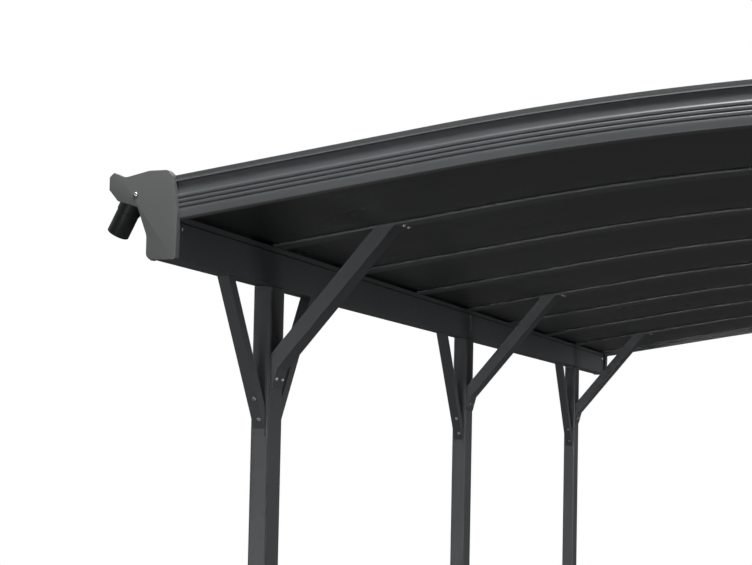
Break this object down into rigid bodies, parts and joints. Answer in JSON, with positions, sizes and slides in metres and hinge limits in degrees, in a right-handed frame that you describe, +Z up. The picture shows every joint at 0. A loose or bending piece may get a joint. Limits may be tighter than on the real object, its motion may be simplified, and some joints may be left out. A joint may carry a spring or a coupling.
{
  "type": "carport",
  "caption": "Free-standing arched carport: slim posts, beams, gutters and braced curved rafters carry dark translucent roof sheets over one car.",
  "frame": {"origin": "on the ground, at the middle of the footprint", "axes": "+Y runs along the carport from the front to the rear, +X to the right as seen from the front, +Z up"},
  "size_m": [3.6834, 5.02, 2.4183],
  "materials": {
    "main_frame": "anthracite powder coat on aluminium, matt",
    "gutter_frame": "anthracite powder coat on aluminium, matt",
    "roof_frame": "anthracite powder coat on aluminium, satin",
    "brace_frame": "anthracite powder coat on aluminium, matt",
    "sheet": "smoked twin-wall polycarbonate",
    "cap_plastic": "moulded grey plastic, fine grained",
    "outlet_plastic": "moulded black plastic, satin",
    "plate_steel": "galvanised and powder coated steel"
  },
  "bodies": {
    "root": {"beam_braces_left": "brace_frame", "beam_braces_right": "brace_frame", "beam_left_front": "main_frame", "beam_left_rear": "main_frame", "beam_right_front": "main_frame", "beam_right_rear": "main_frame", "cross_brace_left_front": "brace_frame", "cross_brace_left_middle": "brace_frame", "cross_brace_left_rear": "brace_frame", "cross_brace_right_front": "brace_frame", "cross_brace_right_middle": "brace_frame", "cross_brace_right_rear": "brace_frame", "feet_left": "plate_steel", "feet_right": "plate_steel", "front_arch": "roof_frame", "gutter_cap_left_front": "cap_plastic", "gutter_cap_left_rear": "cap_plastic", "gutter_cap_right_front": "cap_plastic", "gutter_cap_right_rear": "cap_plastic", "gutter_left": "gutter_frame", "gutter_outlet_left": "outlet_plastic", "gutter_outlet_right": "outlet_plastic", "gutter_right": "gutter_frame", "post_left_front": "main_frame", "post_left_middle": "main_frame", "post_left_rear": "main_frame", "post_right_front": "main_frame", "post_right_middle": "main_frame", "post_right_rear": "main_frame", "rafter_1": "roof_frame", "rafter_2": "roof_frame", "rafter_3": "roof_frame", "rafter_4": "roof_frame", "rafter_5": "roof_frame", "rafter_6": "roof_frame", "rafter_7": "roof_frame", "rear_arch": "roof_frame", "roof_sheet_1": "sheet", "roof_sheet_2": "sheet", "roof_sheet_3": "sheet", "roof_sheet_4": "sheet", "roof_sheet_5": "sheet", "roof_sheet_6": "sheet", "roof_sheet_7": "sheet", "roof_sheet_8": "sheet"}
  },
  "joints": []
}
